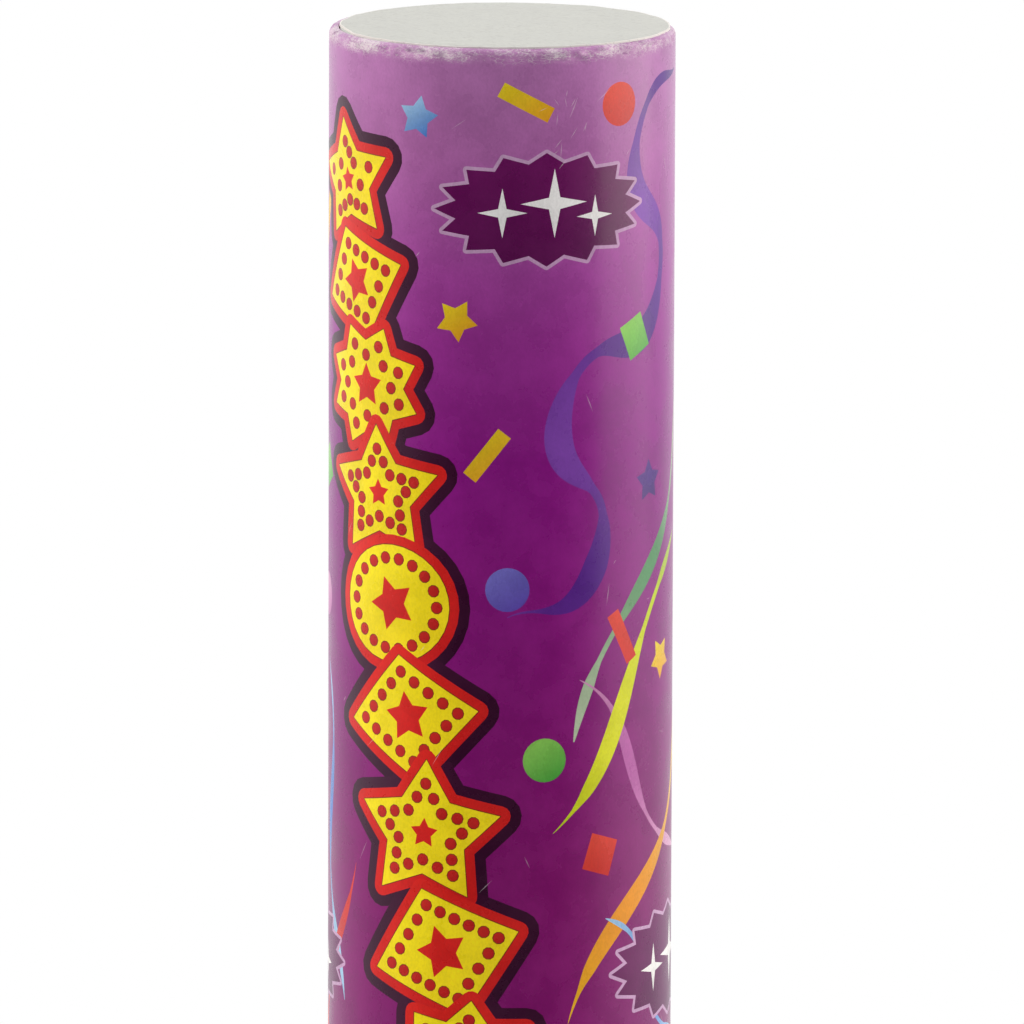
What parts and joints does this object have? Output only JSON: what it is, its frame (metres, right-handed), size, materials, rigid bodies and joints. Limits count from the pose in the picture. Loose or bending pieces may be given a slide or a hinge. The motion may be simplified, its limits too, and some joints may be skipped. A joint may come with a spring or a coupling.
{
  "type": "confetti popper",
  "caption": "Hand-held twist-to-fire confetti popper: printed paper tube with a turning grip, an air bottle with a cam-lifted stopper, streamers and confetti under a muzzle seal.",
  "frame": {"origin": "on the tube's axis, at the level of the foot it stands on", "axes": "+Z along the tube towards the muzzle; the printed front faces -Y"},
  "size_m": [0.05, 0.05, 0.3],
  "materials": {
    "printed_wrap": "satin coated print",
    "paperboard": "raw wound board",
    "silver_paper": "satin silver paper",
    "joiner_plastic": "fine moulded texture",
    "cam_plastic": "fine moulded texture",
    "spider_plastic": "fine moulded texture",
    "base_plastic": "fine moulded texture",
    "bottle_aluminium": "drawn and brushed",
    "valve_rubber": "matt",
    "pin_steel": "ground",
    "stopper_brass": "turned",
    "wad_plastic": "fine moulded texture",
    "felt": "pressed wool felt",
    "card": "grey board",
    "streamer_violet": "matt tissue",
    "streamer_orange": "matt tissue",
    "streamer_green": "matt tissue",
    "foil_gold": "metallic foil on tissue",
    "tissue_red": "matt tissue",
    "foil_blue": "metallic foil on tissue",
    "foil_green": "metallic foil on tissue"
  },
  "bodies": {
    "barrel": {"barrel_tube": "paperboard", "barrel_wrap": "printed_wrap", "joiner_sleeve": "joiner_plastic"},
    "grip": {"grip_tube": "paperboard", "grip_wrap": "printed_wrap", "cam_sleeve": "cam_plastic", "air_bottle": "bottle_aluminium", "fill_valve": "valve_rubber", "base_cap": "base_plastic"},
    "valve": {"spider": "spider_plastic", "cam_pins": "pin_steel", "stopper": "stopper_brass", "stopper_ring": "valve_rubber", "stopper_screw": "pin_steel"},
    "payload": {"wad_cup": "wad_plastic", "wad_felt": "felt", "streamer_roll_1": "streamer_violet", "streamer_roll_2": "streamer_orange", "streamer_roll_3": "streamer_green", "streamer_roll_4": "streamer_violet", "streamer_roll_5": "streamer_orange", "streamer_roll_6": "streamer_green", "divider_card": "card", "confetti_gold": "foil_gold", "confetti_red": "tissue_red", "confetti_blue": "foil_blue", "confetti_green": "foil_green"},
    "muzzle": {"muzzle_seal": "silver_paper"}
  },
  "joints": [
    {"name": "grip_twist", "type": "hinge", "parent": "barrel", "child": "grip", "pos_m": [0, 0, 0.0475], "axis": [0, 0, 1], "range_deg": [0, 90]},
    {"name": "valve_lift", "type": "slide", "parent": "barrel", "child": "valve", "axis": [0, 0, 1], "range_m": [0, 0.01]},
    {"name": "payload_shot", "type": "slide", "parent": "barrel", "child": "payload", "axis": [0, 0, 1], "range_m": [0, 0.19]},
    {"name": "muzzle_pop", "type": "slide", "parent": "barrel", "child": "muzzle", "axis": [0, 0, 1], "range_m": [0, 0.19]}
  ],
  "couplings": [
    {"joint": "valve_lift", "follows": "grip_twist", "m_per_rad": 0.0063662},
    {"joint": "muzzle_pop", "follows": "payload_shot", "ratio": 1}
  ]
}
